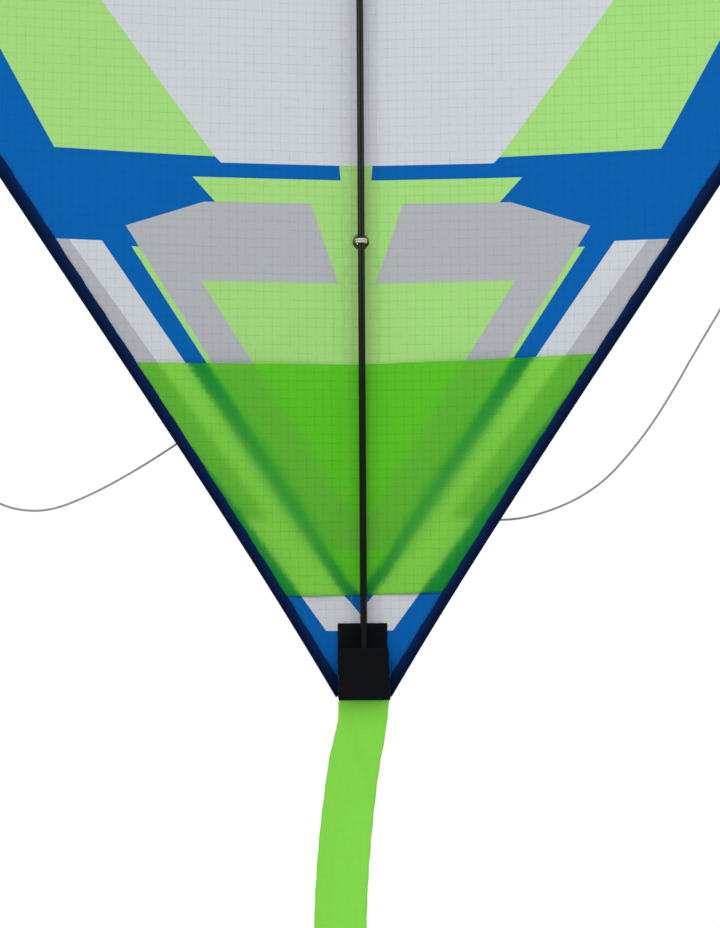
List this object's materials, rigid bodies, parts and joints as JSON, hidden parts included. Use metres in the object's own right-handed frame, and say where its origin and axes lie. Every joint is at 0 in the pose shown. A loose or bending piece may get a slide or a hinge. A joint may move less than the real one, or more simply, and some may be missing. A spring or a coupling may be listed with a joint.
{
  "type": "diamond kite",
  "caption": "Two-line diamond kite with a printed ripstop sail, folding cross spars on a hub, slack bridles and a ribbon tail.",
  "frame": {"origin": "where the cross spars meet the spine, on the spine's axis", "axes": "+X to the right of someone behind the kite, +Y out of the front (bridle) side, +Z from the tail to the nose"},
  "size_m": [0.9816, 0.1217, 1.98],
  "materials": {
    "rod": "black pultruded glass-fibre rod, glossy",
    "cap": "soft black vinyl end cap",
    "hub": "moulded black nylon",
    "steel": "plain steel",
    "webbing": "black woven webbing",
    "hook_and_loop": "black hook and loop strip",
    "sail": "ripstop cloth printed in blue, green, white and grey",
    "seam_tape": "green ripstop tape",
    "rear_panel": "green translucent ripstop",
    "edge_tape": "navy binding tape",
    "brass": "pressed brass",
    "white_cord": "white braided cord",
    "cord": "grey braided cord",
    "tail": "lime green ripstop ribbon"
  },
  "bodies": {
    "frame": {"bridle_lower_left": "cord", "bridle_lower_right": "cord", "bridle_upper_left": "cord", "bridle_upper_right": "cord", "centre_patch": "webbing", "centre_seam_tape": "seam_tape", "hub_body": "hub", "hub_collar_lower": "hub", "hub_collar_upper": "hub", "hub_pin_left": "steel", "hub_pin_right": "steel", "loop_strips": "hook_and_loop", "lower_eyelet": "brass", "lower_tie": "white_cord", "nose_pocket": "webbing", "spine": "rod", "spine_foot_cap": "cap", "spine_nose_cap": "cap", "tail_patch": "webbing", "tail_seam": "tail", "tow_knot_left": "cord", "tow_knot_right": "cord", "tow_ring_left": "steel", "tow_ring_right": "steel"},
    "left_wing": {"sail_left": "sail", "lower_edge_tape_left": "edge_tape", "upper_edge_tape_left": "edge_tape", "rear_panel_left": "rear_panel", "cross_spar_left": "rod", "tip_cap_left": "cap", "tip_pocket_left": "webbing", "socket_arm_left": "hub", "wing_eyelet_left": "brass", "wing_tie_left": "white_cord"},
    "right_wing": {"sail_right": "sail", "lower_edge_tape_right": "edge_tape", "upper_edge_tape_right": "edge_tape", "rear_panel_right": "rear_panel", "cross_spar_right": "rod", "tip_cap_right": "cap", "tip_pocket_right": "webbing", "socket_arm_right": "hub", "wing_eyelet_right": "brass", "wing_tie_right": "white_cord"},
    "tail_flap": {"tail_flap": "webbing", "hook_strips": "hook_and_loop"},
    "tail": {"tail_ribbon": "tail"}
  },
  "joints": [
    {"name": "left_wing_fold", "type": "hinge", "parent": "frame", "child": "left_wing", "pos_m": [-0.009, 0, 0], "axis": [0, 0, 1], "range_deg": [0, 75]},
    {"name": "right_wing_fold", "type": "hinge", "parent": "frame", "child": "right_wing", "pos_m": [0.009, 0, 0], "axis": [0, 0, -1], "range_deg": [0, 75]},
    {"name": "tail_flap_open", "type": "hinge", "parent": "frame", "child": "tail_flap", "pos_m": [0, -0.00375, -0.7494], "axis": [1, 0, 0], "range_deg": [0, 140]},
    {"name": "tail_swing", "type": "hinge", "parent": "frame", "child": "tail", "pos_m": [0, 0.00385, -0.7503], "axis": [1, 0, 0], "range_deg": [-35, 35]}
  ]
}
